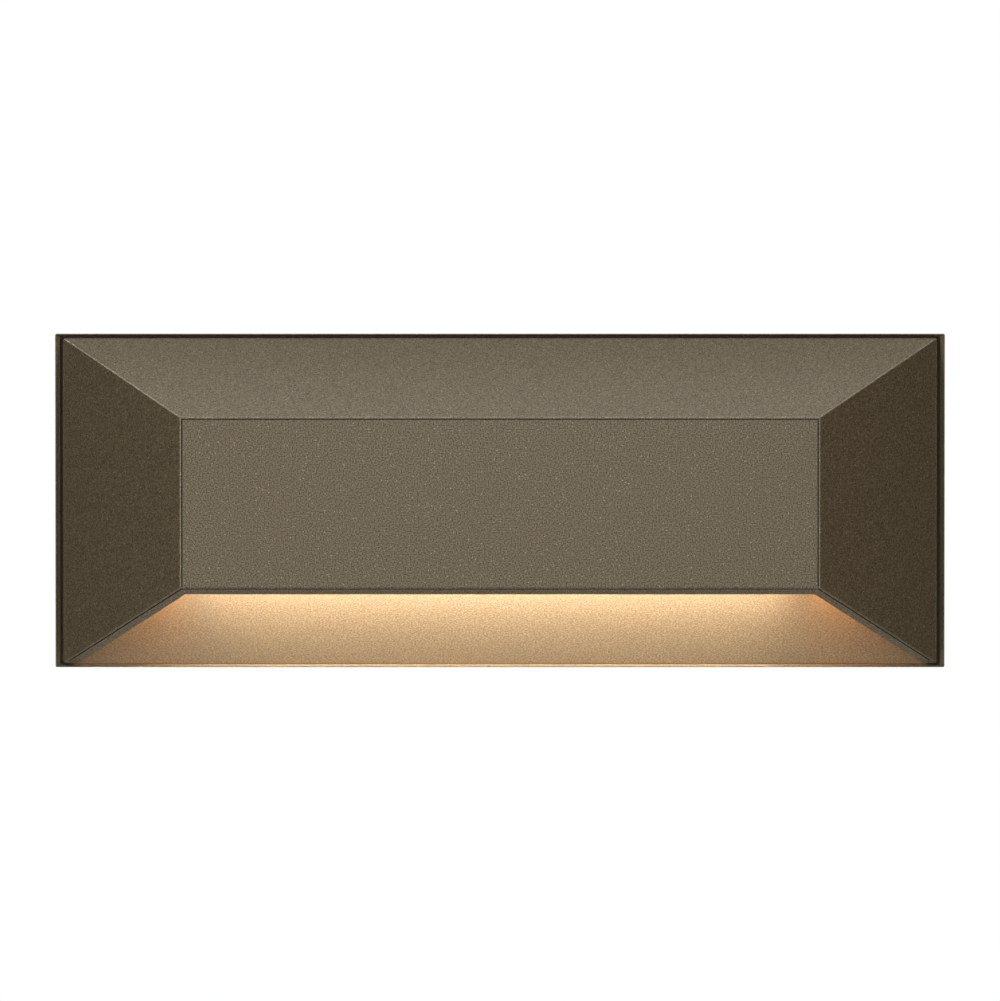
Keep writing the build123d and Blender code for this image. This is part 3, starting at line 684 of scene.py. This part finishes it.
for side in ("left", "right"):
    node = f"set_screw_{side}"
    low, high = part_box(node)
    screw = set_screw()
    bmesh.ops.translate(screw, verts=screw.verts, vec=((low.x + high.x) / 2, (low.y + high.y) / 2, low.z))
    make_piece(f"threaded_set_screw_{side}", screw, stainless, node, "stainless_steel", node)


# Stage: a pale floor well below the part, white surroundings, cards at the sides and above, and softboxes.
# The camera looks square on at the front from very slightly above.
scene = bpy.context.scene
scene.view_settings.view_transform = "Standard"

# The surroundings are white where they are seen, also in a gloss or through a clear piece, and shine less
# strongly than that on the part.
seen_level = 1.0
shining_level = 0.42
world = bpy.data.worlds.new("white_surroundings")
scene.world = world
world.use_nodes = True
tree = world.node_tree
ray = add(tree, "LightPath").outputs
seen = {0: ray["Is Camera Ray"], 1: ray["Is Transmission Ray"]}
seen = add(tree, "Math", seen, operation="MAXIMUM").outputs[0]
seen = add(tree, "Math", {0: seen, 1: ray["Is Glossy Ray"]}, operation="MAXIMUM").outputs[0]
level = {"Value": seen, "To Min": shining_level, "To Max": seen_level}
level = add(tree, "MapRange", level).outputs["Result"]
tree.links.new(level, tree.nodes["Background"].inputs["Strength"])
tree.nodes["Background"].inputs["Color"].default_value = linear("#FFFFFF")


def stage_panel(name, half_width, half_height, place, paint):
    """A flat panel of the stage, turned and moved by a matrix."""
    panel = bmesh.new()
    bmesh.ops.create_grid(panel, x_segments=1, y_segments=1, size=1.0)
    bmesh.ops.scale(panel, verts=panel.verts, vec=(half_width, half_height, 1))
    bmesh.ops.transform(panel, verts=panel.verts, matrix=place)
    data = bpy.data.meshes.new(name)
    panel.to_mesh(data)
    panel.free()
    data.materials.append(paint)
    made = bpy.data.objects.new(name, data)
    scene.collection.objects.link(made)
    return made


# The floor's paint is lifted towards white for the camera alone and is clear from below.
floor_height = -0.30
floor_half = 1.4
floor_lift = 0.42
floor_paint, tree, shader, _ = new_surface("matt_white_floor_paint")
shader.inputs["Base Color"].default_value = linear("#EDEDEB")
shader.inputs["Roughness"].default_value = 0.8
shader.inputs["Emission Color"].default_value = linear("#FFFFFF")
lift = {0: add(tree, "LightPath").outputs["Is Camera Ray"], 1: floor_lift}
lift = add(tree, "Math", lift, operation="MULTIPLY").outputs[0]
tree.links.new(lift, shader.inputs["Emission Strength"])
under = add(tree, "NewGeometry").outputs["Backfacing"]
clear = add(tree, "BsdfTransparent").outputs["BSDF"]
solid = add(tree, "MixShader", {0: under, 1: shader.outputs["BSDF"], 2: clear}).outputs["Shader"]
tree.links.new(solid, tree.nodes["Material Output"].inputs["Surface"])
stage_panel("studio_floor", floor_half, floor_half, Matrix.Translation((0, 0, floor_height)), floor_paint)


def card(kind, word, tone, half_width, half_height, place):
    """A matt card, out of the camera's sight, that gives one side of the part something to reflect."""
    paint, _, shader, _ = new_surface(kind)
    shader.inputs["Base Color"].default_value = linear(tone)
    shader.inputs["Roughness"].default_value = 1.0
    panel = stage_panel(f"{kind}_{word}", half_width, half_height, place, paint)
    panel.visible_camera = False


# Tan cards stand far out at the sides, and dark ones close to the cover's side and top bevels.
# The front edge of a dark card is measured back from the wall's plane, so a minus lies in front of it.
upright = Matrix.Rotation(math.pi / 2, 4, "Y")
tan_card_distance = 0.9
tan_card_half = 0.8
for word, side, tone in (("left", -1, "#7A6440"), ("right", 1, "#86693C")):
    place = Matrix.Translation((side * tan_card_distance, 0, 0)) @ upright
    card("tan_card", word, tone, tan_card_half, tan_card_half, place)

dark_card_half = 0.15
dark_card_gap = 0.06
side_front = -12 * MM
top_front = 16 * MM
dark_cards = {
    "left": ("#35270F", Vector((-1, 0, 0)), side_front, dark_card_half, upright),
    "right": ("#3B2906", Vector((1, 0, 0)), side_front, dark_card_half, upright),
    "above": ("#544B3C", Vector((0, 0, 1)), top_front, 2 * dark_card_half, Matrix.Identity(4)),
}
for word, (tone, side, front, half, turn) in dark_cards.items():
    middle = side * dark_card_gap
    middle += Vector((side.x * cad_box[1].x, front + dark_card_half, side.z * cad_box[1].z))
    card("dark_card", word, tone, half, dark_card_half, Matrix.Translation(middle) @ turn)


def softbox(name, place, target, width, height, radiance, colour="#FFFFFF", spread=180, shape="RECTANGLE"):
    """A flat lamp that faces a point and shines with an even radiance, within a spread in degrees."""
    data = bpy.data.lights.new(name, "AREA")
    data.shape = shape
    data.size = width
    data.size_y = height
    area = width * height * (math.pi / 4 if shape == "ELLIPSE" else 1)
    data.energy = radiance * math.pi * area
    data.spread = math.radians(spread)
    data.color = linear(colour)[:3]
    lamp = bpy.data.objects.new(name, data)
    scene.collection.objects.link(lamp)
    lamp.location = place
    lamp.rotation_euler = (Vector(target) - Vector(place)).to_track_quat("-Z", "Y").to_euler()
    lamp.visible_camera = False


softbox(
    "near_front_softbox",
    place=(0, -0.30, 0.02),
    target=(0, -0.03, 0),
    width=0.12,
    height=0.06,
    radiance=0.8,
)
softbox(
    "overhead_softbox",
    place=(0, -0.10, 0.62),
    target=(0, -0.02, 0.03),
    width=0.7,
    height=0.16,
    radiance=4.8,
)
softbox("back_softbox", place=(0, 0.90, 0.40), target=(0, 0, 0), width=0.8, height=0.5, radiance=1.6)
for word, side, strip_radiance, box_radiance in (("left", -1, 37.0, 28.0), ("right", 1, 22.0, 12.0)):
    softbox(
        f"edge_strip_{word}",
        place=(side * 0.62, -0.62, 0.12),
        target=(0, -0.02, 0),
        width=0.04,
        height=0.5,
        radiance=strip_radiance,
    )
    softbox(
        f"corner_box_{word}",
        place=(side * 0.57, -0.10, 0.68),
        target=(side * 0.08, -0.02, 0.02),
        width=0.12,
        height=0.12,
        radiance=box_radiance,
    )

# The strip's own light: down through the lens, most of all in a slim line near the plate, back at the plate
# and out of the ends. The lamp that faces the plate is an ellipse, so the wash is brightest in the middle.
# The two lamps that face down lie at two heights, because in one plane they would take each other's light.
lens_margin = 2 * MM
strip_reach = lens_high.x - lens_low.x - 2 * lens_margin
strip_width = 2 * (lens_half_width - lens_margin)
under_gap = 0.2 * MM
core_shift = 3 * MM
core_setback = 3.5 * MM
core_drop = 0.4 * MM
wall_lamp_drop = 1.6 * MM
wall_lamp_height = 2.4 * MM
end_lamp_rise = 1.5 * MM
end_lamp_tilt = 20 * MM
slim_height = 3 * MM
aim_distance = 50 * MM
straight_down = Vector((0, 0, -aim_distance))

under_lens = Vector((0, led_y, lens_low.z - under_gap))
softbox(
    "led_down",
    place=under_lens,
    target=under_lens + straight_down,
    width=strip_reach,
    height=strip_width,
    radiance=18.5,
    colour="#FFC48F",
)
near_plate = under_lens + Vector((-core_shift, core_setback, -core_drop))
softbox(
    "led_core",
    place=near_plate,
    target=near_plate + straight_down,
    width=strip_reach - 2 * core_shift,
    height=slim_height,
    radiance=54.0,
)
before_lens = Vector((0, lens_low.y + lens_margin, lens_low.z - wall_lamp_drop))
softbox(
    "led_wall",
    place=before_lens,
    target=before_lens + Vector((0, aim_distance, 0)),
    width=strip_reach,
    height=wall_lamp_height,
    radiance=5.5,
    spread=130,
    shape="ELLIPSE",
)
for word, side in (("left", -1), ("right", 1)):
    lens_end = Vector((side * strip_reach / 2, led_y, lens_low.z + end_lamp_rise))
    softbox(
        f"led_end_{word}",
        place=lens_end,
        target=lens_end + Vector((side * strip_reach / 2, 0, -end_lamp_tilt)),
        width=strip_width,
        height=slim_height,
        radiance=208.0,
        colour="#FFB888",
    )

# The camera stands so far off that the picture is this wide where the plate's rim ends.
picture_width = 228.7 * MM
rim_front = 5.0 * MM
camera_raise = math.radians(1.0)
camera_data = bpy.data.cameras.new("camera")
camera_data.lens = 200.0
camera_data.sensor_width = 36.0
camera_far = picture_width * camera_data.lens / camera_data.sensor_width
camera = bpy.data.objects.new("camera", camera_data)
scene.collection.objects.link(camera)
aim = Vector((0.0, -rim_front, 0.0))
back = Vector((0, -math.cos(camera_raise), math.sin(camera_raise)))
camera.location = aim + camera_far * back
camera.rotation_euler = (-back).to_track_quat("-Z", "Y").to_euler()
scene.camera = camera
